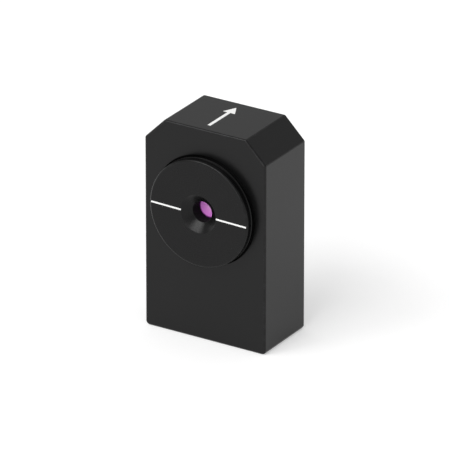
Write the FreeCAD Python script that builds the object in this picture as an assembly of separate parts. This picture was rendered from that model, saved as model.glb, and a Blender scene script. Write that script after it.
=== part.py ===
import FreeCAD, Part
import math
import os

# Free-space optical isolator: an upright block with cut top corners, and a round polarizer
# cell on each end face. Light enters through the input cell, passes the Faraday crystal in
# its ring magnet, and leaves through the output cell.
# Millimetres. +Z is up, +Y is the way the light goes, +X is to the right of someone who
# looks along the light. The origin is the centre of the base.

# Block
BODY_W = 25.4
BODY_D = 13.7
BODY_H = 41.2
CORNER_CUT = 4.15
EDGE_R = 0.5
RIM_BEVEL = 0.4
BEAM_H = 25.6

# Clearances: round a cell that turns, behind a piece that must not bottom, round a seated piece
RUNNING_FIT = 0.04
END_GAP = 0.1
SEAT_FIT = 0.02

# Polarizer cells
CELL_R = 10.3
CELL_T = 1.7
CELL_BEVEL = 0.25
SPIGOT_R = 8.0
SPIGOT_L = 3.5
CONE_MOUTH_R = 3.7
APERTURE_R = 2.0
CONE_HALF_ANGLE = 50.0
POLARIZER_R = 3.0
POLARIZER_T = 1.0
CELL_RING_T = 0.8
CELL_RING_STEP = 0.15
WASHER_T = 0.2

# Thrust rings that the cells turn on
THRUST_RING_INSET = 0.9
THRUST_RING_T = 0.5

# Locking: a set screw with a brass tip bears in a groove of the spigot
LOCK_FROM_FACE = 1.9
LOCK_GROOVE_DEPTH = 0.5
LOCK_SCREW_R = 0.97
LOCK_SCREW_RECESS = 0.7
LOCK_TIP_SOCKET = 0.8
LOCK_TIP_CLEAR = 0.04
LOCK_HEX_AF = 0.9
LOCK_HEX_DEPTH = 1.2

# Rotator
MAGNET_R = 7.0
MAGNET_RING_T = 1.0
LIP_T = 0.6
SLEEVE_HOLD = 0.4
SLEEVE_WALL = 0.76
SLEEVE_BORE_R = 2.4
CRYSTAL_R = 2.9
CRYSTAL_T = 1.2
CRYSTAL_RING_T = 0.9

# Spanner slots of the three kinds of threaded ring
SLOT_W = 0.7
SLOT_DEPTH = 0.4

# Tapped hole for a post, in the base
POST_TAP_R = 1.65
POST_TAP_DEPTH = 8.0
POST_TAP_MOUTH = 0.4

# The two ends, and distances out of an end face: the cell's own faces, from front to back
INPUT, OUTPUT = -1, 1
END_Y = BODY_D / 2
CELL_BACK = THRUST_RING_T
CELL_FACE = CELL_BACK + CELL_T
CONE_DEPTH = (CONE_MOUTH_R - APERTURE_R) / math.tan(math.radians(CONE_HALF_ANGLE))
SPIGOT_END = -SPIGOT_L
WASHER_BACK = SPIGOT_END + CELL_RING_T
POLARIZER_BACK = WASHER_BACK + WASHER_T
POLARIZER_FACE = POLARIZER_BACK + POLARIZER_T
CELL_RING_BORE_R = APERTURE_R + CELL_RING_STEP

# Places along the beam, from front to back, and the radii that follow from the fits. INWARD is
# the way from the left side to the beam.
END_BORE_R = SPIGOT_R + RUNNING_FIT
END_BORE_L = SPIGOT_L + END_GAP
LIP_FRONT_Y = -END_Y + END_BORE_L
MAGNET_FRONT_Y = LIP_FRONT_Y + LIP_T
MAGNET_RING_BACK_Y = END_Y - END_BORE_L
MAGNET_BACK_Y = MAGNET_RING_BACK_Y - MAGNET_RING_T
MAGNET_RING_R = END_BORE_R - SEAT_FIT
CRYSTAL_FRONT_Y = -CRYSTAL_T / 2
CRYSTAL_BACK_Y = CRYSTAL_T / 2
CRYSTAL_RING_FRONT_Y = CRYSTAL_BACK_Y + WASHER_T
CRYSTAL_SEAT_R = CRYSTAL_R + SEAT_FIT
SLEEVE_R = CRYSTAL_SEAT_R + SLEEVE_WALL
MAGNET_BORE_R = SLEEVE_R + SEAT_FIT
LIP_BORE_R = SLEEVE_R - SLEEVE_HOLD
LOCK_NOSE_X = -END_BORE_R
LOCK_TIP_R = RUNNING_FIT + LOCK_GROOVE_DEPTH - LOCK_TIP_CLEAR * math.sqrt(2)
BEAM_POINT = FreeCAD.Vector(0, 0, BEAM_H)
BEAM_DIR = FreeCAD.Vector(0, 1, 0)
INWARD = FreeCAD.Vector(1, 0, 0)
TOUCH = 1e-6


def solid_of(shape):
    """The shape turned the right way out, as one clean solid."""
    solid = shape.Solids[0]
    if solid.Volume < 0:
        solid.reverse()
    return solid.removeSplitter()


def turned(profile):
    """A body of revolution on the beam, from the (radius, y) corners of its half section."""
    corners = [FreeCAD.Vector(r, y, BEAM_H) for r, y in profile]
    face = Part.Face(Part.makePolygon(corners + corners[:1]))
    return solid_of(face.revolve(BEAM_POINT, BEAM_DIR, 360))


def turned_at_end(profile, end):
    """The same for a piece at one end, from (radius, distance out of that end face)."""
    return turned([(r, end * (END_Y + out)) for r, out in profile])


def beam_cylinder(radius, y_from, y_to):
    """A cylinder on the beam."""
    start = FreeCAD.Vector(0, min(y_from, y_to), BEAM_H)
    return Part.makeCylinder(radius, abs(y_to - y_from), start, BEAM_DIR)


def spanner_slots(y_face, into, radius):
    """The bar that cuts two slots across a ring's face; into is the way to the material."""
    low = min(y_face, y_face + into * SLOT_DEPTH)
    corner = FreeCAD.Vector(-radius, low, BEAM_H - SLOT_W / 2)
    return Part.makeBox(2 * radius, SLOT_DEPTH, SLOT_W, corner)


def block_outline():
    """The front view of the block: a rectangle with its two top corners cut."""
    half = BODY_W / 2
    shoulder = BODY_H - CORNER_CUT
    corners = [
        (-half, 0),
        (half, 0),
        (half, shoulder),
        (half - CORNER_CUT, BODY_H),
        (-half + CORNER_CUT, BODY_H),
        (-half, shoulder),
    ]
    points = [FreeCAD.Vector(x, -END_Y, z) for x, z in corners]
    return Part.Face(Part.makePolygon(points + points[:1]))


def is_long_edge(edge):
    """Whether an edge of the block runs from its front to its back."""
    return abs(edge.Vertexes[0].Y - edge.Vertexes[-1].Y) > BODY_D / 2


def is_rim_edge(edge):
    """Whether an edge lies all in the front or the back face."""
    box = edge.BoundBox
    return box.YLength < TOUCH and abs(abs(box.YMin) - END_Y) < TOUCH


def rounded_block():
    """The block before its holes, with its edges broken."""
    block = block_outline().extrude(BEAM_DIR * BODY_D)
    block = block.makeFillet(EDGE_R, [e for e in block.Edges if is_long_edge(e)])
    return block.makeChamfer(RIM_BEVEL, [e for e in block.Edges if is_rim_edge(e)])


def post_hole():
    """The tapped hole in the base, at its tap drill's size, with its countersunk mouth."""
    hole = Part.makeCylinder(POST_TAP_R, POST_TAP_DEPTH)
    return hole.fuse(Part.makeCone(POST_TAP_R + POST_TAP_MOUTH, POST_TAP_R, POST_TAP_MOUTH))


def lock_y(end):
    """Where a lock screw lies along the beam."""
    return end * (END_Y - LOCK_FROM_FACE)


def lock_hole(end):
    """The hole for a lock screw, from the left side to the end bore."""
    side = FreeCAD.Vector(-BODY_W / 2, lock_y(end), BEAM_H)
    reach = BODY_W / 2 - SPIGOT_R / 2
    return Part.makeCylinder(LOCK_SCREW_R + RUNNING_FIT, reach, side, INWARD)


def make_housing():
    """The block with its stepped bore, its lock screw holes and its post hole."""
    cuts = [
        beam_cylinder(END_BORE_R, -END_Y, LIP_FRONT_Y),
        beam_cylinder(LIP_BORE_R, LIP_FRONT_Y, MAGNET_FRONT_Y),
        beam_cylinder(MAGNET_R + SEAT_FIT, MAGNET_FRONT_Y, MAGNET_BACK_Y),
        beam_cylinder(END_BORE_R, MAGNET_BACK_Y, END_Y),
        post_hole(),
        lock_hole(INPUT),
        lock_hole(OUTPUT),
    ]
    return solid_of(rounded_block().cut(cuts))


def make_cell(end):
    """A turning cell: disc, entry cone, aperture, grooved spigot and the polarizer's seat."""
    groove = -LOCK_FROM_FACE
    seat_r = POLARIZER_R + SEAT_FIT
    profile = [
        (CONE_MOUTH_R, CELL_FACE),
        (CELL_R - CELL_BEVEL, CELL_FACE),
        (CELL_R, CELL_FACE - CELL_BEVEL),
        (CELL_R, CELL_BACK),
        (SPIGOT_R, CELL_BACK),
        (SPIGOT_R, groove + LOCK_GROOVE_DEPTH),
        (SPIGOT_R - LOCK_GROOVE_DEPTH, groove),
        (SPIGOT_R, groove - LOCK_GROOVE_DEPTH),
        (SPIGOT_R, SPIGOT_END),
        (seat_r, SPIGOT_END),
        (seat_r, POLARIZER_FACE),
        (APERTURE_R, POLARIZER_FACE),
        (APERTURE_R, CELL_FACE - CONE_DEPTH),
    ]
    return turned_at_end(profile, end)


def make_polarizer(end):
    """The round polarizer plate, flat against the shoulder behind the aperture."""
    front = end * (END_Y + POLARIZER_FACE)
    back = end * (END_Y + POLARIZER_BACK)
    return beam_cylinder(POLARIZER_R, front, back)


def flat_ring(radius, bore_r, y_from, y_to):
    """A plain ring on the beam."""
    return beam_cylinder(radius, y_from, y_to).cut(beam_cylinder(bore_r, y_from, y_to))


def make_cell_washer(end):
    """The soft washer between a polarizer and its threaded ring."""
    front = end * (END_Y + POLARIZER_BACK)
    back = end * (END_Y + WASHER_BACK)
    return solid_of(flat_ring(POLARIZER_R, CELL_RING_BORE_R, front, back))


def make_cell_ring(end):
    """The threaded ring that holds a polarizer in its cell, slotted for a spanner."""
    front = end * (END_Y + WASHER_BACK)
    back = end * (END_Y + SPIGOT_END)
    ring = flat_ring(POLARIZER_R, CELL_RING_BORE_R, front, back)
    return solid_of(ring.cut(spanner_slots(back, end, POLARIZER_R)))


def make_thrust_ring(end):
    """The flat ring between a cell's disc and the housing, set in from the disc's edge."""
    radius = CELL_R - THRUST_RING_INSET
    outer = end * (END_Y + THRUST_RING_T)
    return solid_of(flat_ring(radius, END_BORE_R, end * END_Y, outer))


def hex_prism(across_flats, length, base):
    """A hexagonal prism that points inward from its base point, with flats above and below."""
    radius = across_flats / math.sqrt(3)
    corners = []
    for k in range(6):
        turn = math.radians(60 * k)
        offset = FreeCAD.Vector(0, radius * math.cos(turn), radius * math.sin(turn))
        corners.append(base + offset)
    face = Part.Face(Part.makePolygon(corners + corners[:1]))
    return face.extrude(INWARD * length)


def make_lock_screw(end):
    """A set screw with a hexagon socket, and a pocket in its nose for the tip."""
    tail = FreeCAD.Vector(LOCK_SCREW_RECESS - BODY_W / 2, lock_y(end), BEAM_H)
    length = LOCK_NOSE_X - tail.x
    screw = Part.makeCylinder(LOCK_SCREW_R, length, tail, INWARD)
    socket = hex_prism(LOCK_HEX_AF, LOCK_HEX_DEPTH, tail)
    pocket_at = tail + INWARD * (length - LOCK_TIP_SOCKET)
    pocket = Part.makeCylinder(LOCK_TIP_R, LOCK_TIP_SOCKET, pocket_at, INWARD)
    return solid_of(screw.cut([socket, pocket]))


def make_lock_tip(end):
    """The brass tip pressed into a lock screw, with a cone that fits the groove."""
    root = FreeCAD.Vector(LOCK_NOSE_X - LOCK_TIP_SOCKET, lock_y(end), BEAM_H)
    nose = root + INWARD * LOCK_TIP_SOCKET
    shank = Part.makeCylinder(LOCK_TIP_R, LOCK_TIP_SOCKET, root, INWARD)
    return solid_of(shank.fuse(Part.makeCone(LOCK_TIP_R, 0, LOCK_TIP_R, nose, INWARD)))


def make_magnet():
    """The ring magnet, against the housing's lip."""
    return solid_of(flat_ring(MAGNET_R, MAGNET_BORE_R, MAGNET_FRONT_Y, MAGNET_BACK_Y))


def make_magnet_ring():
    """The threaded ring that holds the magnet and the sleeve against the housing's lip."""
    ring = flat_ring(MAGNET_RING_R, LIP_BORE_R, MAGNET_BACK_Y, MAGNET_RING_BACK_Y)
    return solid_of(ring.cut(spanner_slots(MAGNET_RING_BACK_Y, INPUT, MAGNET_RING_R)))


def make_sleeve():
    """The brass sleeve in the magnet, with a seat for the crystal."""
    profile = [
        (SLEEVE_BORE_R, MAGNET_FRONT_Y),
        (SLEEVE_R, MAGNET_FRONT_Y),
        (SLEEVE_R, MAGNET_BACK_Y),
        (CRYSTAL_SEAT_R, MAGNET_BACK_Y),
        (CRYSTAL_SEAT_R, CRYSTAL_FRONT_Y),
        (SLEEVE_BORE_R, CRYSTAL_FRONT_Y),
    ]
    return turned(profile)


def make_crystal():
    """The Faraday crystal, a disc in the middle of the magnet."""
    return beam_cylinder(CRYSTAL_R, CRYSTAL_FRONT_Y, CRYSTAL_BACK_Y)


def make_crystal_washer():
    """The soft washer between the crystal and its threaded ring."""
    return solid_of(flat_ring(CRYSTAL_R, SLEEVE_BORE_R, CRYSTAL_BACK_Y, CRYSTAL_RING_FRONT_Y))


def make_crystal_ring():
    """The threaded ring that holds the crystal in its sleeve."""
    back = CRYSTAL_RING_FRONT_Y + CRYSTAL_RING_T
    ring = flat_ring(CRYSTAL_R, SLEEVE_BORE_R, CRYSTAL_RING_FRONT_Y, back)
    return solid_of(ring.cut(spanner_slots(back, INPUT, CRYSTAL_R)))


def make_parts():
    """Every piece, by the name of its node."""
    parts = {
        "housing": make_housing(),
        "ring_magnet": make_magnet(),
        "magnet_retaining_ring": make_magnet_ring(),
        "rotator_sleeve": make_sleeve(),
        "faraday_crystal": make_crystal(),
        "crystal_washer": make_crystal_washer(),
        "crystal_retaining_ring": make_crystal_ring(),
    }
    for name, end in (("input", INPUT), ("output", OUTPUT)):
        parts[name + "_cell"] = make_cell(end)
        parts[name + "_polarizer"] = make_polarizer(end)
        parts[name + "_polarizer_washer"] = make_cell_washer(end)
        parts[name + "_polarizer_ring"] = make_cell_ring(end)
        parts[name + "_thrust_ring"] = make_thrust_ring(end)
        parts[name + "_lock_screw"] = make_lock_screw(end)
        parts[name + "_lock_tip"] = make_lock_tip(end)
    return parts


os.makedirs("parts", exist_ok=True)
for node, shape in make_parts().items():
    shape.exportStep("parts/" + node + ".step")
    print(node, round(shape.Volume, 3), shape.isValid(), len(shape.Faces))
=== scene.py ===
# %% [markdown]
# An optical isolator is a one-way street for a laser beam. This one is a black anodised block
# with a polarizer cell on each end face, a magnet and a garnet crystal between the two cells,
# and a small set screw that locks each cell. The solids come packed from the CAD source, and
# stay where they are. Here the pieces that show are modelled again with finer edges, and every
# piece gets its finish.
#
# The frame could be rebuilt here from a list of sizes, but then two lists would have to agree.
# So it is loaded, and sizes are read from its boxes wherever a box can give them.

# %% Load the frame
import math

import bmesh
import bpy
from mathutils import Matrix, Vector


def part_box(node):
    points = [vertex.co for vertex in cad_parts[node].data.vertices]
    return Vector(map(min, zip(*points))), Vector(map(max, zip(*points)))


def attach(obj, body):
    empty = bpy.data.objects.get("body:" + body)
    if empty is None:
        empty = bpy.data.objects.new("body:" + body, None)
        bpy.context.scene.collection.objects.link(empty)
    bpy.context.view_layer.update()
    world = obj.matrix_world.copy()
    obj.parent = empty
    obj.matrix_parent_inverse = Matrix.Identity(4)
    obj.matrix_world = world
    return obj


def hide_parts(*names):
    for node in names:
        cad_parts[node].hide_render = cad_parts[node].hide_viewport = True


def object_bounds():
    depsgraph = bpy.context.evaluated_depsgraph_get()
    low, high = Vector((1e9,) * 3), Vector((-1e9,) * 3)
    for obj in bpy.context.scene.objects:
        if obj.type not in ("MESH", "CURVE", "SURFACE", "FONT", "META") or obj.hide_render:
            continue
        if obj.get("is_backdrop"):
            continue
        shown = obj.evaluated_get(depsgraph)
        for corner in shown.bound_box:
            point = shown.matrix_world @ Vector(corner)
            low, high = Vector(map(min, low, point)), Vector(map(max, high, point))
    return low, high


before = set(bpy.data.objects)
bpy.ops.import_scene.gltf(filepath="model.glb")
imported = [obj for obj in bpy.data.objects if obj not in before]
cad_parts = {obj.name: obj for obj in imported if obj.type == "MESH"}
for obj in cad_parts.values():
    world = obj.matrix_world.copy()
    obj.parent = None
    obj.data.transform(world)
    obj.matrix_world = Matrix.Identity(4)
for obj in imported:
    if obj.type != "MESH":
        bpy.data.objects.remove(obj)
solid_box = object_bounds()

print("pieces in the frame:", len(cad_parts))

# %% [markdown]
# A drawing needs its sizes before its lines. Everything is in metres, so a millimetre is a
# small number, and it gets a name. The beam runs along Y at one height, and that height is the
# middle of the round cell, wherever the CAD source puts it.

# %% Sizes that the frame gives
MM = 0.001
block_low, block_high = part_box("housing")
cell_low, cell_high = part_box("input_cell")
ring_low, ring_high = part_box("input_thrust_ring")
plate_low, plate_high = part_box("input_polarizer")
screw_low, screw_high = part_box("input_lock_screw")

BLOCK_HALF_WIDTH = block_high.x
BLOCK_HEIGHT = block_high.z
END_Y = block_high.y
BEAM_HEIGHT = (cell_low.z + cell_high.z) / 2
BEAM = Vector((0, 0, BEAM_HEIGHT))
CELL_RADIUS = cell_high.x
CELL_FACE = -END_Y - cell_low.y
CELL_BACK = -END_Y - ring_low.y
SPIGOT_END = -END_Y - cell_high.y
PLATE_FACE = -END_Y - plate_low.y
PLATE_BACK = -END_Y - plate_high.y
PLATE_RADIUS = plate_high.x
RING_RADIUS = ring_high.x
SCREW_Y = (screw_low.y + screw_high.y) / 2
SCREW_RADIUS = (screw_high.y - screw_low.y) / 2
print("block, mm:", [round(side / MM, 2) for side in block_high - block_low])
print("cell face out of the block, mm:", round(CELL_FACE / MM, 2))

# %% [markdown]
# The photograph was taken from the right of the beam and from above, with a long lens, so the
# block's edges stay almost parallel. The camera stands level at that angle and far away. A
# short lens close by would spread the edges, and a tilted frame would lean them.

# %% Camera
CAMERA_AZIMUTH = math.radians(31.92)
CAMERA_ELEVATION = math.radians(24.285)
CAMERA_DISTANCE = 1249.05 * MM
CAMERA_AIM = Vector((-0.111, 0, 20.137)) * MM
SENSOR_WIDTH = 36
LENS = 557.2


def direction(azimuth, elevation):
    """The way from the block to a place round it. Azimuth 0 is in front of the input cell."""
    level = math.cos(elevation)
    return Vector((math.sin(azimuth) * level, -math.cos(azimuth) * level, math.sin(elevation)))


bpy.ops.object.select_all(action="DESELECT")
to_camera = direction(CAMERA_AZIMUTH, CAMERA_ELEVATION)
bpy.ops.object.camera_add(
    location=CAMERA_AIM + to_camera * CAMERA_DISTANCE,
    rotation=(-to_camera).to_track_quat("-Z", "Y").to_euler(),
)
camera = bpy.context.object
camera.data.sensor_width = SENSOR_WIDTH
camera.data.lens = LENS
bpy.context.scene.camera = camera
print("camera at, mm:", [round(side / MM) for side in camera.location])

# %% [markdown]
# A finish is a small net of nodes. Sums in it read best as sums, so one class wraps an output
# socket and turns +, -, * and / into Math nodes. Every other node comes from its one method,
# which sets the node's own settings first and then its sockets. A Math node would turn a colour
# grey, so colours go through the Mix node, which has sockets of its own for them.

# %% Wires between nodes
class Wire:
    """An output socket of a net of nodes. A sum written with it adds Math nodes to the net."""

    def __init__(self, net, socket=None):
        self.net = net
        self.socket = socket

    def node(self, kind, settings, sockets, output=0):
        """Adds a node: first its settings, then the values or wires that its sockets get."""
        made = self.net.nodes.new(kind)
        for name, value in settings.items():
            setattr(made, name, value)
        for name, value in sockets.items():
            if isinstance(value, Wire):
                self.net.links.new(value.socket, made.inputs[name])
            else:
                made.inputs[name].default_value = value
        return Wire(self.net, made.outputs[output] if made.outputs else None)

    def other(self, output):
        """Another output of the node that this wire comes from."""
        return Wire(self.net, self.socket.node.outputs[output])

    def sum(self, operation, first, second):
        """One Math node on two numbers or wires."""
        return self.node("ShaderNodeMath", {"operation": operation}, {0: first, 1: second})

    def __add__(self, other):
        return self.sum("ADD", self, other)

    def __radd__(self, other):
        return self.sum("ADD", other, self)

    def __sub__(self, other):
        return self.sum("SUBTRACT", self, other)

    def __rsub__(self, other):
        return self.sum("SUBTRACT", other, self)

    def __mul__(self, other):
        return self.sum("MULTIPLY", self, other)

    def __rmul__(self, other):
        return self.sum("MULTIPLY", other, self)

    def __truediv__(self, other):
        return self.sum("DIVIDE", self, other)


COLOUR_A, COLOUR_B, COLOUR_RESULT = 6, 7, 2


def mixed(first, second, share):
    """A colour between two colours; share is a wire, 0 for the first and 1 for the second."""
    sockets = {"Factor": share, COLOUR_A: first, COLOUR_B: second}
    return share.node("ShaderNodeMix", {"data_type": "RGBA"}, sockets, COLOUR_RESULT)


print("a Wire adds, subtracts, multiplies and divides, and two colours can be mixed")

# %% [markdown]
# The photograph has a white sweep under and behind the part. A lamp strong enough to burn the
# paper white would also grey the black block, so the paper helps itself: to the camera and to
# reflections it adds a little light of its own, and to the part it stays plain paper that keeps
# a soft shadow.

# %% Floor
FLOOR_RADIUS = 2.5
FLOOR_SIDES = 96
FLOOR_GAP = 0.02 * MM
PAPER_WHITE = (0.7, 0.7, 0.7, 1)
PAPER_HELP = 0.38


def seen_share(net):
    """1 where the camera, a reflection or a look through glass meets this surface, else 0."""
    camera_ray = net.node("ShaderNodeLightPath", {}, {}, "Is Camera Ray")
    mirrored = camera_ray.other("Is Glossy Ray") + camera_ray.other("Is Transmission Ray")
    return net.sum("MINIMUM", camera_ray + mirrored, 1)


def paper():
    """The floor's white paper."""
    material = bpy.data.materials.new("paper")
    material.use_nodes = True
    net = Wire(material.node_tree)
    net.net.nodes.clear()
    plain = net.node("ShaderNodeBsdfDiffuse", {}, {"Color": PAPER_WHITE})
    glow = net.node("ShaderNodeEmission", {}, {"Strength": PAPER_HELP * seen_share(net)})
    both = net.node("ShaderNodeAddShader", {}, {0: plain, 1: glow})
    net.node("ShaderNodeOutputMaterial", {}, {"Surface": both})
    return material


bpy.ops.object.select_all(action="DESELECT")
bpy.ops.mesh.primitive_circle_add(
    vertices=FLOOR_SIDES, radius=FLOOR_RADIUS, fill_type="NGON", location=(0, 0, -FLOOR_GAP)
)
floor = bpy.context.object
floor.name = "floor"
floor.data.materials.append(paper())
floor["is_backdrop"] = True
print("floor radius, m:", FLOOR_RADIUS)

# %% [markdown]
# Most of the light comes from all round, out of a plain grey room that turns white towards the
# horizon, as the sweep does. A room that is white all over would be simpler, but a satin block
# mirrors it from every side, and its faces would look alike.

# %% The room
ROOM_GREY = 0.58
SWEEP_WHITE = 0.1
SWEEP_TOP = 0.25


def light_room():
    """The air round the part: grey overhead, and white from the horizon up to the sweep's top."""
    world = bpy.data.worlds.new("room")
    world.use_nodes = True
    bpy.context.scene.world = world
    net = Wire(world.node_tree)
    net.net.nodes.clear()
    way = net.node("ShaderNodeTexCoord", {}, {}, "Generated")
    height = net.node("ShaderNodeSeparateXYZ", {}, {0: way}, "Z")
    rise = net.sum("MAXIMUM", (SWEEP_TOP - height) / (SWEEP_TOP - SWEEP_WHITE), 0)
    white = net.sum("MINIMUM", rise, 1)
    brightness = ROOM_GREY + (1 - ROOM_GREY) * white
    air = net.node("ShaderNodeBackground", {}, {"Color": (1, 1, 1, 1), "Strength": brightness})
    net.node("ShaderNodeOutputWorld", {}, {"Surface": air})


light_room()
bpy.context.scene.view_settings.view_transform = "Standard"
print("room grey:", ROOM_GREY)

# %% [markdown]
# The rest comes from a long softbox at the upper left, which the entry cone mirrors to the camera
# as one bright fan. A square lamp close by would fall off over the floor, and the paper would turn
# grey at a distance. A sun lamp with a wide angle lights everything alike, and three of them in a
# row make the long softbox. A weaker lamp almost in line with the beam reaches down the aperture
# to the polarizer.

# %% The lamps
SOFTBOX_AZIMUTHS = {"softbox_left": -43, "softbox_middle": -20, "softbox_right": 3}
SOFTBOX_ELEVATION = 45
SOFTBOX_LIGHT = 0.62
LAMP_WIDTH = 28
FRONT_AZIMUTH = 8
FRONT_ELEVATION = 12
FRONT_LIGHT = 0.4


def wide_lamp(name, azimuth, elevation, light):
    """A lamp far away, as wide as a softbox, that shines towards the block."""
    away = direction(math.radians(azimuth), math.radians(elevation))
    bpy.ops.object.light_add(
        type="SUN", location=away, rotation=away.to_track_quat("Z", "Y").to_euler()
    )
    lamp = bpy.context.object
    lamp.name = name
    lamp.data.energy = light
    lamp.data.angle = math.radians(LAMP_WIDTH)
    print(name, "at", azimuth, elevation, "degrees, light", light)


for name, azimuth in SOFTBOX_AZIMUTHS.items():
    wide_lamp(name, azimuth, SOFTBOX_ELEVATION, SOFTBOX_LIGHT)
wide_lamp("front_lamp", FRONT_AZIMUTH, FRONT_ELEVATION, FRONT_LIGHT)

# %% [markdown]
# Each piece starts as a primitive and is shaped in edit mode, as by hand. Without a window
# nothing can be clicked, so faces, edges and corners are selected by where they lie. The
# operators act on all that is selected, and the loaded solids come in selected, so every step
# starts from an empty selection.

# %% Picking by place
TOUCH = 1e-6


def select_only(piece):
    """Makes one object the selected and the active one."""
    bpy.ops.object.select_all(action="DESELECT")
    piece.select_set(True)
    bpy.context.view_layer.objects.active = piece


def pick(kind, chosen):
    """Selects the VERT, EDGE or FACE items of the piece in edit mode that chosen says yes to."""
    bpy.ops.mesh.select_mode(type=kind)
    bpy.ops.mesh.select_all(action="DESELECT")
    mesh = bpy.context.edit_object.data
    work = bmesh.from_edit_mesh(mesh)
    items = {"VERT": work.verts, "EDGE": work.edges, "FACE": work.faces}[kind]
    count = 0
    for item in items:
        if chosen(item):
            item.select_set(True)
            count += 1
    work.select_flush_mode()
    bmesh.update_edit_mesh(mesh)
    return count


def near(first, second):
    """Whether two lengths are the same to a thousandth of a millimetre."""
    return abs(first - second) < TOUCH


print("places closer than this are one, mm:", TOUCH / MM)

# %% [markdown]
# Black anodising rubs thin on edges first, where hands and tools touch it. The finish could find
# the edges by where they lie, but a number kept with each face follows the shape through every
# later cut. A bevel leaves its new faces selected, so that is the moment to write it down.

# %% Worn faces
WEAR = "edge_wear"


def note_wear(amount):
    """Writes how worn the selected faces are, for the finish to read."""
    mesh = bpy.context.edit_object.data
    work = bmesh.from_edit_mesh(mesh)
    layer = work.faces.layers.float.get(WEAR) or work.faces.layers.float.new(WEAR)
    for face in work.faces:
        if face.select:
            face[layer] = amount
    bmesh.update_edit_mesh(mesh)


print("wear is kept with the faces as:", WEAR)

# %% [markdown]
# Most pieces here are drawn first and made solid after that, as on paper. A drawing is one point
# that is extruded from corner to corner and filled. A mesh could also be built from a list of
# numbers, but the operators are what a hand at the screen would use.

# %% Drawing an outline
def draw(name, corners):
    """A closed outline of these corners, as one face, in edit mode."""
    bpy.ops.object.select_all(action="DESELECT")
    bpy.ops.mesh.primitive_plane_add(size=MM)
    bpy.context.object.name = name
    bpy.ops.object.mode_set(mode="EDIT")
    bpy.ops.mesh.select_mode(type="VERT")
    bpy.ops.mesh.select_all(action="SELECT")
    bpy.ops.mesh.merge(type="CENTER")
    bpy.ops.transform.translate(value=corners[0])
    for start, end in zip(corners, corners[1:]):
        bpy.ops.mesh.extrude_region_move(TRANSFORM_OT_translate={"value": end - start})
    bpy.ops.mesh.select_all(action="SELECT")
    bpy.ops.mesh.edge_face_add()
    return bpy.context.object


def round_corner(corner, size, steps):
    """Rounds the outline's corner at this place."""
    pick("VERT", lambda vert: (vert.co - corner).length < TOUCH)
    bpy.ops.mesh.bevel(offset=size, segments=steps, affect="VERTICES")


# %% [markdown]
# Half of a turned piece's section is spun round its axis. A stack of cylinders could give the same
# steps, but each step would need a union of its own. A spin leaves doubles at the seam, and the
# corners that lie on the axis come out many times over, so the mesh is tidied at once.

# %% Spinning a section
SPIN_STEPS = 128


def tidy_mesh():
    """Merges doubles, drops loose lines and turns all faces outwards, in edit mode."""
    bpy.ops.mesh.select_mode(type="VERT")
    bpy.ops.mesh.select_all(action="SELECT")
    bpy.ops.mesh.remove_doubles(threshold=TOUCH / 2)
    bpy.ops.mesh.delete_loose()
    bpy.ops.mesh.select_all(action="SELECT")
    bpy.ops.mesh.normals_make_consistent(inside=False)


def spin(centre, axis, steps=SPIN_STEPS):
    """Turns the outline in edit mode into a closed body of revolution."""
    bpy.ops.mesh.select_all(action="SELECT")
    bpy.ops.mesh.delete(type="ONLY_FACE")
    bpy.ops.mesh.select_all(action="SELECT")
    bpy.ops.mesh.spin(steps=steps, angle=2 * math.pi, center=centre, axis=axis)
    tidy_mesh()
    bpy.ops.object.mode_set(mode="OBJECT")


def on_section(radius, out):
    """A point of an input-end section: its radius from the beam and its distance out."""
    return Vector((radius, -END_Y - out, BEAM_HEIGHT))


def turned_piece(name, section, corners=()):
    """A piece spun round the beam at the input end, with some of its corners rounded.

    The section's points are pairs: radius from the beam, distance out of the block.
    """
    piece = draw(name, [on_section(*point) for point in section])
    for point, size, steps in corners:
        round_corner(on_section(*point), size, steps)
    spin(BEAM, (0, 1, 0))
    return piece


print("steps in a whole turn:", SPIN_STEPS)

# %% [markdown]
# Holes and pockets are cut with a solid of their own. Edit mode has a Boolean too, but it wants
# both shapes in one mesh, and a modifier leaves the cutter a piece of its own until the cut is
# made. The exact solver is slower than the fast one, and it copes with threads.

# %% Cutting
def cut(piece, cutter, operation="DIFFERENCE"):
    """Cuts the cutter's shape out of a piece, or keeps only what both share, and removes it."""
    select_only(piece)
    boolean = piece.modifiers.new("cut", "BOOLEAN")
    boolean.operation = operation
    boolean.solver = "EXACT"
    boolean.object = cutter
    bpy.ops.object.modifier_apply(modifier=boolean.name)
    bpy.data.objects.remove(cutter)


def flat_solid(name, corners, thickness):
    """An outline made a solid by this thickness, which is a vector."""
    solid = draw(name, corners)
    bpy.ops.mesh.select_mode(type="FACE")
    bpy.ops.mesh.select_all(action="SELECT")
    bpy.ops.mesh.extrude_region_move(TRANSFORM_OT_translate={"value": thickness})
    tidy_mesh()
    bpy.ops.object.mode_set(mode="OBJECT")
    return solid


# %% [markdown]
# A tool is easiest to draw upright at the origin, and is laid along its hole after that. What
# repeats is made once: the output end is the input end, copied and turned half round an upright
# axis. A mirror could do that too, but it turns faces inside out and makes a thread left-handed.

# %% Moving and copying
def lay_along(piece, way, start):
    """Lays a piece that stands up the Z axis so that it points that way from a start."""
    select_only(piece)
    piece.rotation_euler = Vector(way).to_track_quat("Z", "Y").to_euler()
    piece.location = start
    bpy.ops.object.transform_apply(location=True, rotation=True, scale=True)


def joined(pieces):
    """Several pieces made one, in the first."""
    select_only(pieces[0])
    for piece in pieces:
        piece.select_set(True)
    bpy.ops.object.join()
    return pieces[0]


def copied(piece, name):
    """A copy of a piece with its own mesh."""
    select_only(piece)
    bpy.ops.object.duplicate(linked=False)
    bpy.context.object.name = name
    return bpy.context.object


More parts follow.
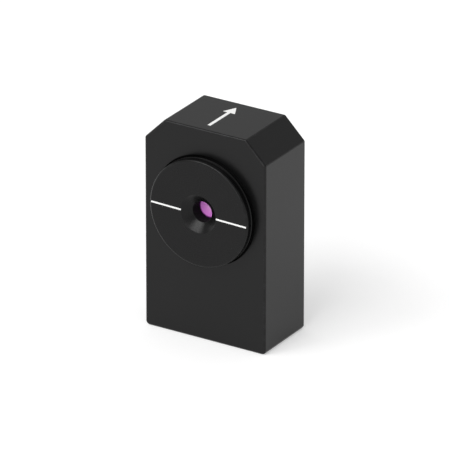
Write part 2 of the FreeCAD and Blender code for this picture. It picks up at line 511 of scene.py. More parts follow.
def turn_round_beam(piece, angle, axis="Y"):
    """Turns a piece's mesh round the beam, or round an upright axis through it."""
    select_only(piece)
    bpy.ops.object.mode_set(mode="EDIT")
    bpy.ops.mesh.select_all(action="SELECT")
    bpy.ops.transform.rotate(value=angle, orient_axis=axis, center_override=BEAM)
    bpy.ops.object.mode_set(mode="OBJECT")


def at_output(piece, name, turn=0):
    """A copy of an input-end piece at the output end, turned round the beam by this much first."""
    copy = copied(piece, name)
    turn_round_beam(copy, turn)
    turn_round_beam(copy, math.pi, "Z")
    return copy


# %% [markdown]
# With flat shading a round wall shows its facets, and with smooth shading a flat face looks
# swollen. Smooth by Angle leaves the real edges sharp, and the Weighted Normal modifier lets the
# large faces decide at the small rounds. Every piece ends here: it is smoothed, gets its finish,
# and rides on the body that carries it.

# %% Smoothing and putting in place
SMOOTH_UNDER = math.radians(32)


def smooth(piece):
    """Merges what a cut left double, then shades small angles soft and keeps flat faces flat."""
    select_only(piece)
    bpy.ops.object.mode_set(mode="EDIT")
    bpy.ops.mesh.select_all(action="SELECT")
    bpy.ops.mesh.remove_doubles(threshold=TOUCH / 8)
    bpy.ops.mesh.dissolve_degenerate(threshold=TOUCH / 8)
    bpy.ops.object.mode_set(mode="OBJECT")
    bpy.ops.object.shade_smooth_by_angle(angle=SMOOTH_UNDER)
    even = piece.modifiers.new("even", "WEIGHTED_NORMAL")
    even.keep_sharp = True
    bpy.ops.object.modifier_apply(modifier=even.name)


def put_in_place(piece, body, material, node=None):
    """Smooths a finished piece, gives it its finish and its body, and hides the solid that it
    stands for.
    """
    smooth(piece)
    piece.data.materials.clear()
    piece.data.materials.append(material)
    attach(piece, body)
    if node:
        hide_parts(node)
    print(piece.name, len(piece.data.polygons), "faces")


print("angles shaded smooth, degrees:", round(math.degrees(SMOOTH_UNDER)))

# %% [markdown]
# A finish is a function that fills an empty net and gives back its shader. One node, the
# Principled shader, can be metal, paint, plastic or glass, so every finish ends in one. A shader
# group for each kind could be shared, but then its numbers would hide inside the group.

# %% Making a finish
def finish(name, build):
    """A material whose surface is what build makes in an empty net."""
    material = bpy.data.materials.new(name)
    material.use_nodes = True
    net = Wire(material.node_tree)
    net.net.nodes.clear()
    net.node("ShaderNodeOutputMaterial", {}, {"Surface": build(net)})
    print(name, "has", len(net.net.nodes), "nodes")
    return material


def shader(net, sockets):
    """The Principled shader with these sockets set."""
    return net.node("ShaderNodeBsdfPrincipled", {}, sockets)


# %% [markdown]
# Every finish starts from the same few patterns. They read Object coordinates, which are metres
# here, so a pattern's size is given in marks to the millimetre. Grain that is finer than a pixel
# still softens the light, and it is there when someone looks closer.

# %% Patterns
def place(net):
    """Where a point of the surface is, in metres."""
    return net.node("ShaderNodeTexCoord", {}, {}, "Object")


def speckle(at, per_mm, detail=2.0):
    """Noise from 0 to 1 with this many marks to the millimetre."""
    return at.node(
        "ShaderNodeTexNoise", {}, {"Vector": at, "Scale": per_mm / MM, "Detail": detail}, "Fac"
    )


def stretch(value, low, high):
    """0 below low, 1 above high and a soft step between."""
    return value.node(
        "ShaderNodeMapRange",
        {"interpolation_type": "SMOOTHSTEP"},
        {"Value": value, "From Min": low, "From Max": high},
        "Result",
    )


def beam_radius(at):
    """How far a point is from the beam's axis."""
    off = at.node("ShaderNodeVectorMath", {"operation": "SUBTRACT"}, {0: at, 1: BEAM}, "Vector")
    x = at.node("ShaderNodeSeparateXYZ", {}, {0: off}, "X")
    z = x.other("Z")
    return at.sum("SQRT", x * x + z * z, 0)


def round_the_beam(at):
    """Radius from the beam and distance along it: the same all the way round a turned piece."""
    y = at.node("ShaderNodeSeparateXYZ", {}, {0: at}, "Y")
    return at.node("ShaderNodeCombineXYZ", {}, {"X": beam_radius(at), "Y": y}, "Vector")


def bump(height, depth):
    """A Bump node's normal, for a height from 0 to 1 and a depth in metres."""
    return height.node(
        "ShaderNodeBump", {}, {"Height": height, "Distance": depth, "Strength": 1.0}, "Normal"
    )


# %% [markdown]
# The block is aluminium, blasted to a fine grain and anodised black, so its faces are satin and
# its edges a little thinner in colour. A plain dark grey would look like plastic: what makes it
# metal to the eye is the fine even grain and the way that the gloss wanders slightly. The
# blasting doesn't reach into the bores and grooves, so they are left dull, and their colour is
# painted darker there as shade.

# %% Block finish
ANODISE_BLACK = (0.0024, 0.0024, 0.0026, 1)
ANODISE_CLOUD = (0.0036, 0.0035, 0.0036, 1)
ANODISE_RUBBED = (0.0085, 0.0085, 0.009, 1)
# painted shade: a darker black inside the bores and the groove round each disc
ANODISE_BORE_SHADE = (0.0008, 0.0008, 0.0009, 1)
ANODISE_GLOSS = 0.255
BLAST_DEPTH = 0.0012 * MM
RUBBED_SPOTS = (0.42, 0.72)
# where the bores are dull and also painted darker as shade
DULL_AND_SHADED_BELOW_FACE = (0.02 * MM, 0.1 * MM)
DULL_AND_SHADED_ENDS_AT = (CELL_RADIUS + 0.35 * MM, CELL_RADIUS + MM)


def rubbed(at):
    """Where the edges are rubbed: the worn faces, broken up by a coarse and a fine noise."""
    worn = at.node("ShaderNodeAttribute", {"attribute_name": WEAR}, {}, "Fac")
    return worn * stretch(speckle(at, 1.1, 4.0), *RUBBED_SPOTS)


def inside_bores(at):
    """1 on the block's walls round the beam and below its end faces, else 0."""
    y = at.node("ShaderNodeSeparateXYZ", {}, {0: at}, "Y")
    below_face = stretch(END_Y - at.sum("ABSOLUTE", y, 0), *DULL_AND_SHADED_BELOW_FACE)
    return below_face * (1 - stretch(beam_radius(at), *DULL_AND_SHADED_ENDS_AT))


def blasted_anodise(net):
    """Black anodising on blasted faces, and dull in the bores, where its colour is painted darker
    as shade.
    """
    at = place(net)
    cloud = speckle(at, 0.12, 3.0)
    grain = speckle(at, 9.0, 3.0)
    worn = rubbed(at)
    inside = inside_bores(at)
    outer = mixed(mixed(ANODISE_BLACK, ANODISE_CLOUD, cloud), ANODISE_RUBBED, worn)
    # painted shade: the colour turns darker inside the bores and the groove
    colour = mixed(outer, ANODISE_BORE_SHADE, inside)
    rough = 0.26 + 0.03 * cloud + 0.03 * grain - 0.02 * worn + 0.7 * inside
    return shader(
        net,
        {
            "Base Color": colour,
            "Roughness": rough,
            "Specular IOR Level": ANODISE_GLOSS,
            "Normal": bump(grain, BLAST_DEPTH),
        },
    )


block_finish = finish("blasted_anodise", blasted_anodise)

# %% [markdown]
# The discs and rings are turned, so their marks run round the beam instead of every way. The
# noise is read by radius and by distance along the beam, which leaves it the same all the way
# round. The aperture is left dull, so that it swallows stray light, while the entry cone keeps a
# satin gloss that mirrors the softbox.

# %% Turned anodising
APERTURE_RADIUS = 2.0 * MM
APERTURE_EDGE = (APERTURE_RADIUS + 0.01 * MM, APERTURE_RADIUS + 0.1 * MM)
DRILLED_ROUGH = 0.95
TURNED_ROUGH = 0.24
TURNED_GLOSS = 0.205
TURNED_DEPTH = 0.0006 * MM


def turned_anodise(net):
    """Black anodising over fine lathe marks, dull where the drill left the aperture rough."""
    at = place(net)
    marks = speckle(round_the_beam(at), 6.0, 3.0)
    cloud = speckle(at, 0.3, 3.0)
    worn = rubbed(at)
    colour = mixed(mixed(ANODISE_BLACK, ANODISE_CLOUD, cloud), ANODISE_RUBBED, worn)
    turned = TURNED_ROUGH + 0.05 * marks + 0.02 * cloud
    rough = DRILLED_ROUGH - stretch(beam_radius(at), *APERTURE_EDGE) * (DRILLED_ROUGH - turned)
    return shader(
        net,
        {
            "Base Color": colour,
            "Roughness": rough,
            "Specular IOR Level": TURNED_GLOSS,
            "Normal": bump(marks, TURNED_DEPTH),
        },
    )


cell_finish = finish("turned_anodise", turned_anodise)
ring_finish = finish("ring_anodise_turned", turned_anodise)

# %% [markdown]
# The thrust rings are plastic, the tips and the sleeve brass, the magnet is nickel plated and the
# lock screws are blackened steel. They show little, but they are turned too, so they share the
# lathe marks. The metals differ only in tone and gloss, and one function makes all three.

# %% Turned plastic and metals
ACETAL_BLACK = (0.008, 0.008, 0.008, 1)
ACETAL_GREY = (0.014, 0.014, 0.014, 1)
ACETAL_GLOSS = 0.35
ACETAL_DEPTH = 0.001 * MM
METAL_DEPTH = 0.0015 * MM
STAINED = (0.3, 0.75)
BRASS_TONES = ((0.76, 0.55, 0.24, 1), (0.58, 0.4, 0.17, 1))
NICKEL_TONES = ((0.66, 0.62, 0.56, 1), (0.52, 0.49, 0.45, 1))
STEEL_TONES = ((0.11, 0.11, 0.115, 1), (0.05, 0.05, 0.055, 1))


def turned_acetal(net):
    """Black plastic off the lathe."""
    at = place(net)
    marks = speckle(round_the_beam(at), 4.0, 2.0)
    grain = speckle(at, 14.0, 2.0)
    colour = mixed(ACETAL_BLACK, ACETAL_GREY, grain)
    return shader(
        net,
        {
            "Base Color": colour,
            "Roughness": 0.42 + 0.12 * marks,
            "Specular IOR Level": ACETAL_GLOSS,
            "Normal": bump(marks, ACETAL_DEPTH),
        },
    )


def metal(light, dark, rough, marks_per_mm):
    """A turned metal's net, from its two tones, roughness and lathe marks."""

    def build(net):
        at = place(net)
        marks = speckle(round_the_beam(at), marks_per_mm, 3.0)
        stain = stretch(speckle(at, 0.5, 4.0), *STAINED)
        return shader(
            net,
            {
                "Base Color": mixed(light, dark, stain),
                "Metallic": 1.0,
                "Roughness": rough + 0.12 * marks + 0.06 * stain,
                "Normal": bump(marks, METAL_DEPTH),
            },
        )

    return build


acetal = finish("turned_acetal", turned_acetal)
brass = finish("turned_brass", metal(*BRASS_TONES, rough=0.26, marks_per_mm=5.0))
nickel = finish("nickel_plate", metal(*NICKEL_TONES, rough=0.3, marks_per_mm=1.5))
black_steel = finish("black_steel", metal(*STEEL_TONES, rough=0.3, marks_per_mm=6.0))

# %% [markdown]
# What isn't black is small. The marks are filled with white paint, and the polarizers wear a
# violet coating. The plate could be clear glass with a tinted coat, but from outside it shows only
# the coating's violet reflection, so that reflection is painted into its base colour. Towards the
# rim the colour is painted darker, as the shade of the aperture's wall.

# %% Paint and coated glass
PAINT_DULL = (0.84, 0.84, 0.83, 1)
PAINT_CLEAN = (0.93, 0.93, 0.92, 1)
PAINT_DEPTH = 0.003 * MM
# painted reflection of the coating in its brightest tone, then two painted shade tones
VIOLET_LIT = (0.95, 0.38, 0.9, 1)
VIOLET_SHADED = (0.93, 0.28, 0.94, 1)
VIOLET_RIM_SHADOW = (0.12, 0.008, 0.15, 1)
SHADE_DEEPENS_AT = (0.2 * MM, 1.4 * MM)
RIM_SHADOW_AT = (1.66 * MM, 1.98 * MM)


def engraved_paint(net):
    """White paint wiped into an engraved line, with a little grain."""
    at = place(net)
    grain = speckle(at, 7.0, 3.0)
    colour = mixed(PAINT_DULL, PAINT_CLEAN, grain)
    return shader(
        net,
        {
            "Base Color": colour,
            "Roughness": 0.42 + 0.16 * grain,
            "Normal": bump(grain, PAINT_DEPTH),
        },
    )


def violet_coating(net):
    """Polarizing glass under an antireflection coating, its violet reflection painted as base
    colour, with painted shade towards the rim.
    """
    at = place(net)
    drift = stretch(speckle(at, 0.3, 1.0), 0.35, 0.65)
    # painted shade: deeper violet towards the rim, made uneven by a random drift, and the rim
    # darker still
    shade_share = stretch(beam_radius(at), *SHADE_DEEPENS_AT) * (0.75 + 0.25 * drift)
    rim = stretch(beam_radius(at), *RIM_SHADOW_AT)
    colour = mixed(mixed(VIOLET_LIT, VIOLET_SHADED, shade_share), VIOLET_RIM_SHADOW, rim)
    dust = stretch(speckle(at, 3.0, 4.0), 0.62, 0.8)
    return shader(
        net,
        {
            "Base Color": colour,
            "Roughness": 0.16 + 0.1 * dust,
            "Coat Weight": 0.6,
            "Coat Roughness": 0.03,
        },
    )


paint = finish("engraved_paint", engraved_paint)
coating = finish("violet_coating", violet_coating)

# %% [markdown]
# Deep inside sit the dark red crystal and the film of the washers. Nobody sees them before the
# part is taken apart, but a part in a library is taken apart. The crystal could be clear, but
# garnet this thick lets only infrared light through.

# %% Crystal and film
GARNET_DARK = (0.16, 0.05, 0.018, 1)
GARNET_RED = (0.28, 0.1, 0.035, 1)
GARNET_IOR = 2.2
FILM_DULL = (0.74, 0.74, 0.72, 1)
FILM_CLEAN = (0.82, 0.82, 0.8, 1)
FILM_DEPTH = 0.004 * MM


def garnet(net):
    """The dark crystal that turns the light's polarization."""
    at = place(net)
    drift = speckle(at, 0.4, 2.0)
    colour = mixed(GARNET_DARK, GARNET_RED, drift)
    rough = 0.06 + 0.04 * drift
    return shader(net, {"Base Color": colour, "Roughness": rough, "IOR": GARNET_IOR})


def soft_washer(net):
    """White plastic film, cut to a ring."""
    at = place(net)
    grain = speckle(at, 5.0, 3.0)
    colour = mixed(FILM_DULL, FILM_CLEAN, grain)
    rough = 0.5 + 0.15 * grain
    return shader(
        net, {"Base Color": colour, "Roughness": rough, "Normal": bump(grain, FILM_DEPTH)}
    )


crystal = finish("garnet_crystal", garnet)
film = finish("washer_film", soft_washer)

# %% [markdown]
# The block on the real isolator is milled from bar, with its two top corners cut at 45 degrees
# and every edge broken. It could be drawn as an outline and extruded, but a cube that loses its
# corners to two bisecting planes is the way that a maker would cut it, and it gives clean
# edges to bevel: first the two long ones at the foot, which are the roundest, then the other four
# long ones, then the rims of the two end faces. Every face that isn't one of the eight flats then
# belongs to a worn edge.

# %% The block
CORNER_CUT = 4.15 * MM
FOOT_EDGE_ROUND = 0.8 * MM
LONG_EDGE_ROUND = 0.5 * MM
RIM_ROUND = 0.4 * MM
CUT_EDGE_SHARE = math.tan(math.radians(22.5))
FLAT_ENOUGH = 0.9999


def cut_corner(side):
    """Bisects the block where its top corner on this side is cut away."""
    bpy.ops.mesh.select_all(action="SELECT")
    bpy.ops.mesh.bisect(
        plane_co=(side * BLOCK_HALF_WIDTH, 0, BLOCK_HEIGHT - CORNER_CUT),
        plane_no=(side, 0, 1),
        use_fill=True,
        clear_outer=True,
    )


def runs_along_beam(edge):
    """Whether an edge goes from the front of the block to its back."""
    return abs(edge.verts[0].co.y - edge.verts[1].co.y) > END_Y


def lies_in_end_face(edge):
    """Whether an edge is part of the rim of the front or the back face."""
    at_end = all(near(abs(vert.co.y), END_Y) for vert in edge.verts)
    return at_end and not runs_along_beam(edge)


def is_flat(face):
    """Whether a face is one of the block's eight flats, by the way that it looks."""
    diagonal = math.sqrt(0.5)
    ways = [(1, 0, 0), (0, 1, 0), (0, 0, 1), (diagonal, 0, diagonal), (-diagonal, 0, diagonal)]
    return any(abs(face.normal.dot(Vector(way))) > FLAT_ENOUGH for way in ways)


bpy.ops.object.select_all(action="DESELECT")
bpy.ops.mesh.primitive_cube_add(size=1, location=(0, 0, BLOCK_HEIGHT / 2))
block = bpy.context.object
block.name = "housing_block"
block.scale = (2 * BLOCK_HALF_WIDTH, 2 * END_Y, BLOCK_HEIGHT)
bpy.ops.object.transform_apply(location=True, rotation=True, scale=True)
bpy.ops.object.mode_set(mode="EDIT")
cut_corner(-1)
cut_corner(1)
print("bottom edges", pick("EDGE", lambda e: runs_along_beam(e) and e.verts[0].co.z < TOUCH))
bpy.ops.mesh.bevel(offset=FOOT_EDGE_ROUND, segments=6)
print("cut edges", pick("EDGE", lambda e: runs_along_beam(e) and e.verts[0].co.z > BEAM_HEIGHT))
bpy.ops.mesh.bevel(offset=LONG_EDGE_ROUND * CUT_EDGE_SHARE, segments=4)
print("rim edges", pick("EDGE", lies_in_end_face))
bpy.ops.mesh.bevel(offset=RIM_ROUND, segments=5)
print("edge faces", pick("FACE", lambda face: not is_flat(face)))
note_wear(1)
bpy.ops.object.mode_set(mode="OBJECT")

# %% [markdown]
# Down the middle goes a stepped bore: an end bore for each cell's spigot, a thin lip that the
# magnet stands against, and room for the magnet. Its section is spun as a solid and cut out. A
# shallow groove in each end face leaves the disc's rim free of the block. It shows as the black
# line round the disc, which the block's finish darkens further with painted shade.

# %% The stepped bore
END_BORE_RADIUS = 8.04 * MM
END_BORE_DEPTH = 3.6 * MM
LIP_BORE_RADIUS = 3.28 * MM
LIP_THICKNESS = 0.6 * MM
MAGNET_ROOM_RADIUS = 7.02 * MM
MAGNET_RING_THICKNESS = 1.0 * MM
MOUTH_BREAK = 0.12 * MM
RELIEF_INNER = RING_RADIUS + 0.1 * MM
RELIEF_OUTER = CELL_RADIUS + 0.3 * MM
RELIEF_DEPTH = 0.7 * MM
REACH = 1 * MM

lip_front = -END_Y + END_BORE_DEPTH
lip_back = lip_front + LIP_THICKNESS
magnet_room_end = END_Y - END_BORE_DEPTH - MAGNET_RING_THICKNESS
bore_section = [
    (0, -END_Y - REACH),
    (END_BORE_RADIUS + MOUTH_BREAK, -END_Y - REACH),
    (END_BORE_RADIUS + MOUTH_BREAK, -END_Y),
    (END_BORE_RADIUS, -END_Y + MOUTH_BREAK),
    (END_BORE_RADIUS, lip_front),
    (LIP_BORE_RADIUS, lip_front),
    (LIP_BORE_RADIUS, lip_back),
    (MAGNET_ROOM_RADIUS, lip_back),
    (MAGNET_ROOM_RADIUS, magnet_room_end),
    (END_BORE_RADIUS, magnet_room_end),
    (END_BORE_RADIUS, END_Y - MOUTH_BREAK),
    (END_BORE_RADIUS + MOUTH_BREAK, END_Y),
    (END_BORE_RADIUS + MOUTH_BREAK, END_Y + REACH),
    (0, END_Y + REACH),
]
bore = draw("bore", [Vector((radius, y, BEAM_HEIGHT)) for radius, y in bore_section])
spin(BEAM, (0, 1, 0))
cut(block, bore)
relief_section = [
    (RELIEF_INNER, REACH),
    (RELIEF_OUTER, REACH),
    (RELIEF_OUTER, -RELIEF_DEPTH),
    (RELIEF_INNER, -RELIEF_DEPTH),
]
input_relief = turned_piece("input_relief", relief_section)
cut(block, at_output(input_relief, "output_relief"))
cut(block, input_relief)
print("block with its bore:", len(block.data.polygons), "faces")

# %% [markdown]
# Three holes are tapped: one for a post in the base, and one for each lock screw in the left
# side. A tap cuts a groove that climbs round the hole. A few stacked rings would look the same
# from afar, but close up they don't climb. The Screw modifier does it truly: the section of one
# groove is turned round the axis while it rises by the pitch.

# %% A threaded rod
THREAD_STEPS = 32
THREAD_SECTION = [(0, 0), (0, 0.2), (1, 0.5), (1, 0.65), (0, 0.95), (0, 1)]
CLOSING_LINE = 0.9


def thread_rod(name, root, crest, pitch, turns):
    """A closed threaded rod up the Z axis from the origin, right-handed."""
    corners = []
    for out, up in THREAD_SECTION:
        corners.append(Vector((root + out * (crest - root), 0, up * pitch)))
    rod = draw(name, corners)
    bpy.ops.mesh.delete(type="ONLY_FACE")
    pick("EDGE", lambda edge: edge.calc_length() > CLOSING_LINE * pitch)
    bpy.ops.mesh.delete(type="EDGE")
    bpy.ops.object.mode_set(mode="OBJECT")
    screw = rod.modifiers.new("turns", "SCREW")
    screw.axis = "Z"
    screw.angle = 2 * math.pi
    screw.screw_offset = pitch
    screw.iterations = turns
    screw.steps = THREAD_STEPS
    screw.render_steps = THREAD_STEPS
    bpy.ops.object.modifier_apply(modifier=screw.name)
    bpy.ops.object.mode_set(mode="EDIT")
    bpy.ops.mesh.select_all(action="SELECT")
    bpy.ops.mesh.remove_doubles(threshold=TOUCH / 2)
    bpy.ops.mesh.select_mode(type="EDGE")
    bpy.ops.mesh.select_all(action="SELECT")
    bpy.ops.mesh.fill_holes(sides=0)
    bpy.ops.mesh.select_mode(type="FACE")
    bpy.ops.mesh.select_all(action="DESELECT")
    bpy.ops.mesh.select_face_by_sides(number=4, type="GREATER")
    bpy.ops.mesh.poke()
    tidy_mesh()
    bpy.ops.object.mode_set(mode="OBJECT")
    return rod


print("thread steps in a whole turn:", THREAD_STEPS)

# %% [markdown]
# A tapped hole is drilled first and the thread is cut after that. The drill here is a touch
# thinner than the thread's root, because two walls at the same radius leave slivers behind when
# one solid is cut out of the other.

# %% Drill and tap
DRILL_SHARE = 0.97
SMALL_SPIN_STEPS = 64


def drill(root, depth, mouth):
    """A drill up the Z axis, just under the thread's root, with a countersink for the mouth."""
    radius = root * DRILL_SHARE
    section = [
        (0, -REACH),
        (root + mouth, -REACH),
        (root + mouth, 0),
        (radius, root + mouth - radius),
        (radius, depth),
        (0, depth + radius * CUT_EDGE_SHARE),
    ]
    cutter = draw("drill", [Vector((radius, 0, z)) for radius, z in section])
    spin((0, 0, 0), (0, 0, 1), SMALL_SPIN_STEPS)
    return cutter


def tap_hole(root, crest, pitch, depth, mouth, way, start):
    """Drills and taps a hole in the block from a start on its surface."""
    turns = math.ceil(depth / pitch)
    tools = [drill(root, depth + pitch, mouth), thread_rod("tap", root, crest, pitch, turns)]
    for tool in tools:
        lay_along(tool, way, start)
        cut(block, tool)


print("the drill's share of the thread's root:", DRILL_SHARE)

# %% [markdown]
# The post hole goes straight up from the base. The two lock holes go in from the left side to the
# end bores, where each screw meets the groove in its cell's spigot.

# %% The tapped holes
POST_ROOT = 1.65 * MM
POST_CREST = 2.0 * MM
POST_PITCH = 0.7 * MM
POST_DEPTH = 8.0 * MM
POST_MOUTH = 0.4 * MM
LOCK_PITCH = 0.4 * MM
LOCK_FIT = 0.04 * MM
LOCK_THREAD_DEPTH = 0.12 * MM
LOCK_BREAK_THROUGH = 0.1 * MM
LOCK_HOLE_RADIUS = SCREW_RADIUS + LOCK_FIT
LOCK_HOLE_CREST = LOCK_HOLE_RADIUS + LOCK_THREAD_DEPTH
LOCK_HOLE_MOUTH = 0.14 * MM
LOCK_HOLE_DEPTH = BLOCK_HALF_WIDTH - END_BORE_RADIUS + LOCK_BREAK_THROUGH

tap_hole(POST_ROOT, POST_CREST, POST_PITCH, POST_DEPTH, POST_MOUTH, (0, 0, 1), Vector())
for end in (-1, 1):
    tap_hole(
        LOCK_HOLE_RADIUS,
        LOCK_HOLE_CREST,
        LOCK_PITCH,
        LOCK_HOLE_DEPTH,
        LOCK_HOLE_MOUTH,
        (1, 0, 0),
        Vector((-BLOCK_HALF_WIDTH, -end * SCREW_Y, BEAM_HEIGHT)),
    )
print("block with its tapped holes:", len(block.data.polygons), "faces")

# %% [markdown]
# The arrow on top shows which way the light may go. On the real block it is engraved and filled
# with white paint, so it is a shallow pocket here too, and the paint is a piece of its own that
# ends a hair below the top. A white patch in the material would need no cut, but it would have
# no edge to catch the light.

# %% The arrow
ARROW_X = -0.49 * MM
ARROW_HALF_LENGTH = 4.66 * MM
ARROW_HEAD_START = 2.06 * MM
ARROW_HALF_HEAD = 1.28 * MM
ARROW_HALF_SHAFT = 0.34 * MM
POCKET_DEPTH = 0.12 * MM
PAINT_BELOW = 0.015 * MM

pocket_floor = BLOCK_HEIGHT - POCKET_DEPTH
arrow_right = [
    (ARROW_HALF_SHAFT, -ARROW_HALF_LENGTH),
    (ARROW_HALF_SHAFT, ARROW_HEAD_START),
    (ARROW_HALF_HEAD, ARROW_HEAD_START),
    (0, ARROW_HALF_LENGTH),
]
arrow_outline = arrow_right + [(-x, y) for x, y in reversed(arrow_right[:-1])]
arrow_corners = [Vector((ARROW_X + x, y, pocket_floor)) for x, y in arrow_outline]
cut(block, flat_solid("arrow_cutter", arrow_corners, Vector((0, 0, REACH))))
paint_up = Vector((0, 0, POCKET_DEPTH - PAINT_BELOW))
arrow_paint = flat_solid("arrow_paint", arrow_corners, paint_up)
put_in_place(block, "housing", block_finish, "housing")
put_in_place(arrow_paint, "housing", paint)

# %% [markdown]
# The polarizer cell is one piece off the lathe: a disc to turn it by, an entry cone, the
# aperture, a grooved spigot that goes into the block, and a seat for the polarizer at its back.
# It is the part that most of the others are fitted to, so its section is drawn once, and its
# corners get small rounds that the solid doesn't have. A fine groove round the disc's wall gives
# fingers a hold, and its front flank catches the light as one thin line.

# %% The input cell
CONE_MOUTH = 3.7 * MM
CONE_HALF_ANGLE = math.radians(50)
CONE_DEPTH = (CONE_MOUTH - APERTURE_RADIUS) / math.tan(CONE_HALF_ANGLE)
DISC_ROUND = 0.4 * MM
SPIGOT_RADIUS = 8.0 * MM
GROOVE_OUT = -1.9 * MM
GROOVE_DEPTH = 0.5 * MM
SEAT_RADIUS = PLATE_RADIUS + 0.02 * MM
SMALL_ROUND = 0.05 * MM
GRIP_DEPTH = 0.16 * MM
GRIP_OUT = CELL_BACK + 0.1 * MM

cell_section = [
    (CONE_MOUTH, CELL_FACE),
    (CELL_RADIUS, CELL_FACE),
    (CELL_RADIUS, GRIP_OUT + 2 * GRIP_DEPTH),
    (CELL_RADIUS - GRIP_DEPTH, GRIP_OUT + GRIP_DEPTH * 1.25),
    (CELL_RADIUS, GRIP_OUT),
    (CELL_RADIUS, CELL_BACK),
    (SPIGOT_RADIUS, CELL_BACK),
    (SPIGOT_RADIUS, GROOVE_OUT + GROOVE_DEPTH),
    (SPIGOT_RADIUS - GROOVE_DEPTH, GROOVE_OUT),
    (SPIGOT_RADIUS, GROOVE_OUT - GROOVE_DEPTH),
    (SPIGOT_RADIUS, SPIGOT_END),
    (SEAT_RADIUS, SPIGOT_END),
    (SEAT_RADIUS, PLATE_FACE),
    (APERTURE_RADIUS, PLATE_FACE),
    (APERTURE_RADIUS, CELL_FACE - CONE_DEPTH),
]
cell_rounds = [
    ((CONE_MOUTH, CELL_FACE), SMALL_ROUND, 2),
    ((CELL_RADIUS, CELL_FACE), DISC_ROUND, 8),
    ((CELL_RADIUS, CELL_BACK), SMALL_ROUND, 2),
    ((SPIGOT_RADIUS, SPIGOT_END), SMALL_ROUND * 3, 2),
    ((SEAT_RADIUS, SPIGOT_END), SMALL_ROUND * 2, 2),
]
input_cell = turned_piece("input_cell_body", cell_section, cell_rounds)
print("cell section spun to", len(input_cell.data.polygons), "faces")

# %% [markdown]
# Fingers turn the disc by its edge, so its round is where the anodising rubs thin. The piece is
# spun already, and the faces are found by where they lie.

# %% The disc's worn edge
def on_disc_edge(face):
    """Whether a face belongs to the rounded edge of the disc."""
    middle = face.calc_center_median() - BEAM
    radius = math.hypot(middle.x, middle.z)
    between = CELL_RADIUS - DISC_ROUND < radius < CELL_RADIUS - TOUCH
    return between and middle.y < -END_Y - CELL_FACE + DISC_ROUND


select_only(input_cell)
bpy.ops.object.mode_set(mode="EDIT")
print("disc edge faces:", pick("FACE", on_disc_edge))
note_wear(1)
bpy.ops.object.mode_set(mode="OBJECT")

# %% [markdown]
# The two white lines on the disc show how the cell is turned. They are engraved and painted as
# the arrow is. The cutter runs out over the cone's mouth and the disc's edge, so each groove is
# open at both ends, and the paint stops flush with them. The cell stands a little off level, as
# it was last set, so lines and grooves are cut level and then turned with the cell.

# %% The lines on a cell
LINE_HALF_WIDTH = 0.17 * MM
LINE_RUN_OUT = 0.5 * MM
LINE_SHORT_OF_EDGE = 0.32 * MM
LINE_END = CELL_RADIUS - LINE_SHORT_OF_EDGE
LINE_TURN = math.radians(-1.4)


def line_solid(name, side, start, end, thickness):
    """One line as a solid, from the floor of its groove outwards."""
    corners = []
    for x, z in ((start, -1), (end, -1), (end, 1), (start, 1)):
        corners.append(on_section(side * x, CELL_FACE - POCKET_DEPTH))
        corners[-1].z += z * LINE_HALF_WIDTH
    return flat_solid(name, corners, Vector((0, -thickness, 0)))


paint_lines = []
for side in (-1, 1):
    run = (CONE_MOUTH - LINE_RUN_OUT, LINE_END + LINE_RUN_OUT)
    cut(input_cell, line_solid("line_cutter", side, *run, REACH))
    paint_run = (CONE_MOUTH, LINE_END)
    paint_lines.append(line_solid("input_marks", side, *paint_run, POCKET_DEPTH - PAINT_BELOW))
input_marks = joined(paint_lines)
for piece in (input_cell, input_marks):
    turn_round_beam(piece, LINE_TURN)

# %% [markdown]
# The output cell is the same piece, turned to face the other way. Its lines stand at 45 degrees,
# because the crystal turns the light by 45 degrees on the way.

# %% The output cell
OUTPUT_TURN = math.radians(45)

output_cell = at_output(input_cell, "output_cell_body", OUTPUT_TURN)
output_marks = at_output(input_marks, "output_marks", OUTPUT_TURN)
put_in_place(input_cell, "input_cell_turning", cell_finish, "input_cell")
put_in_place(output_cell, "output_cell_turning", cell_finish, "output_cell")
put_in_place(input_marks, "input_cell_turning", paint)
put_in_place(output_marks, "output_cell_turning", paint)

# %% [markdown]
# Between each disc and the block lies a thin black ring that the disc turns on. It is set in from
# the disc's edge, so what shows there is a dark gap, and the block's groove there is painted
# darker as shade. Two cylinders, one cut out of the other, would make a ring too, but a spun
# section has its rounded edge from the start.

# %% The thrust rings
RING_BREAK = 0.08 * MM

ring_section = [
    (END_BORE_RADIUS, 0),
    (END_BORE_RADIUS, CELL_BACK),
    (RING_RADIUS, CELL_BACK),
    (RING_RADIUS, 0),
]
ring_rounds = [((RING_RADIUS, CELL_BACK), RING_BREAK, 3)]
input_ring = turned_piece("input_ring_bevelled", ring_section, ring_rounds)
output_ring = at_output(input_ring, "output_ring_bevelled")
for piece, node in ((input_ring, "input_thrust_ring"), (output_ring, "output_thrust_ring")):
    put_in_place(piece, "housing", acetal, node)

# %% [markdown]
# A polarizer is a round glass plate with its sharp edges ground off, or they would chip. A
# cylinder primitive could be bevelled, but a spun section takes its faces from the solid's box.

# %% The polarizer plates
PLATE_BREAK = 0.1 * MM

plate_section = [
    (0, PLATE_FACE),
    (PLATE_RADIUS, PLATE_FACE),
    (PLATE_RADIUS, PLATE_BACK),
    (0, PLATE_BACK),
]
plate_breaks = [
    ((PLATE_RADIUS, PLATE_FACE), PLATE_BREAK, 1),
    ((PLATE_RADIUS, PLATE_BACK), PLATE_BREAK, 1),
]
input_plate = turned_piece("input_polarizer_plate", plate_section, plate_breaks)
output_plate = at_output(input_plate, "output_polarizer_plate")
for piece, end in ((input_plate, "input"), (output_plate, "output")):
    put_in_place(piece, end + "_cell_turning", coating, end + "_polarizer")

# %% [markdown]
# Each lock screw is a headless set screw. It takes three tools: a blank with bevelled ends, the
# hexagon for the key, and the pocket for the brass tip. They are drawn upright, with the screw's
# tail at the origin.

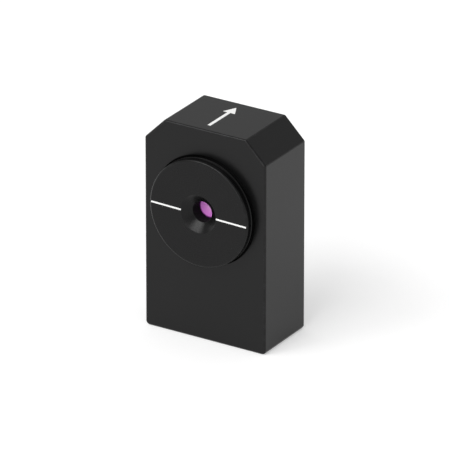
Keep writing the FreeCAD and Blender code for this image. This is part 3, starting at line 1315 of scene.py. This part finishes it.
# %% Tools for the lock screws
SCREW_END_BEVEL = 0.16 * MM
HEX_FLATS = 0.9 * MM
HEX_DEPTH = 1.2 * MM
TIP_POCKET_DEPTH = 0.8 * MM
POCKET_SPIN_STEPS = 48

tip_low, tip_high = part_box("input_lock_tip")
TIP_RADIUS = (tip_high.z - tip_low.z) / 2
screw_length = screw_high.x - screw_low.x


def screw_blank():
    """A round blank up the Z axis with bevelled ends."""
    bevel = SCREW_END_BEVEL
    section = [
        (0, 0),
        (SCREW_RADIUS - bevel, 0),
        (SCREW_RADIUS, bevel),
        (SCREW_RADIUS, screw_length - bevel),
        (SCREW_RADIUS - bevel, screw_length),
        (0, screw_length),
    ]
    blank = draw("blank", [Vector((radius, 0, z)) for radius, z in section])
    spin((0, 0, 0), (0, 0, 1), SMALL_SPIN_STEPS)
    return blank


def key_socket():
    """The hexagon that the key goes in, from the tail of the screw, with a drilled bottom."""
    bpy.ops.object.select_all(action="DESELECT")
    bpy.ops.mesh.primitive_cylinder_add(
        vertices=6,
        radius=HEX_FLATS / math.sqrt(3),
        depth=HEX_DEPTH + REACH,
        location=(0, 0, (HEX_DEPTH - REACH) / 2),
    )
    socket = bpy.context.object
    bpy.ops.object.mode_set(mode="EDIT")
    pick("FACE", lambda face: face.normal.z > FLAT_ENOUGH)
    bpy.ops.mesh.extrude_region_move(TRANSFORM_OT_translate={"value": (0, 0, HEX_FLATS / 4)})
    bpy.ops.mesh.merge(type="CENTER")
    tidy_mesh()
    bpy.ops.object.mode_set(mode="OBJECT")
    bpy.ops.object.transform_apply(location=True, rotation=True, scale=True)
    return socket


def tip_pocket():
    """The round pocket in the nose of the screw."""
    start = screw_length - TIP_POCKET_DEPTH
    end = screw_length + REACH
    section = [(0, start), (TIP_RADIUS, start), (TIP_RADIUS, end), (0, end)]
    pocket = draw("pocket", [Vector((radius, 0, z)) for radius, z in section])
    spin((0, 0, 0), (0, 0, 1), POCKET_SPIN_STEPS)
    return pocket


print("screw length, mm:", round(screw_length / MM, 2))

# %% [markdown]
# A thread rod is kept only inside the blank, and then the hexagon and the pocket are cut. The rod
# is a hair thicker than the blank, so that the blank turns the crests down to size. The thread
# could be left off a screw this small, but its tail shows in the side of the block.

# %% The lock screws
SCREW_ROOT = 0.76 * MM
SCREW_TRIM = 0.03 * MM

turns = math.ceil(screw_length / LOCK_PITCH) + 1
crest = SCREW_RADIUS + SCREW_TRIM
input_screw = thread_rod("input_set_screw", SCREW_ROOT, crest, LOCK_PITCH, turns)
lay_along(input_screw, (0, 0, 1), (0, 0, -LOCK_PITCH / 2))
cut(input_screw, screw_blank(), "INTERSECT")
cut(input_screw, key_socket())
cut(input_screw, tip_pocket())
output_screw = copied(input_screw, "output_set_screw")
for screw, end, side in ((input_screw, "input", 1), (output_screw, "output", -1)):
    lay_along(screw, (1, 0, 0), (screw_low.x, side * SCREW_Y, BEAM_HEIGHT))
    put_in_place(screw, end + "_lock", black_steel, end + "_lock_screw")

# %% [markdown]
# The pieces inside are right as the source made them, so they stay, and each gets its finish. They
# could be modelled again with rounded edges, but nothing of them shows from outside.

# %% Finishes of the inner pieces
INNER_FINISHES = {
    "ring_magnet": nickel,
    "magnet_retaining_ring": ring_finish,
    "rotator_sleeve": brass,
    "faraday_crystal": crystal,
    "crystal_washer": film,
    "crystal_retaining_ring": brass,
}
for end in ("input", "output"):
    INNER_FINISHES[end + "_polarizer_washer"] = film
    INNER_FINISHES[end + "_polarizer_ring"] = ring_finish
    INNER_FINISHES[end + "_lock_tip"] = brass

for name, material in INNER_FINISHES.items():
    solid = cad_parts[name]
    solid.data.materials.clear()
    solid.data.materials.append(material)
print("inner pieces finished:", len(INNER_FINISHES))

# %% [markdown]
# A picture of the part is only as true as its size. The box of the solids and the box of what is
# shown are written side by side, so that they can be compared.

# %% The two boxes
boxes = {
    "solid": [list(corner) for corner in solid_box],
    "visual": [list(corner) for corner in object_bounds()],
}
for name, corners in boxes.items():
    print(name, "box, mm:", [[round(side / MM, 3) for side in corner] for corner in corners])
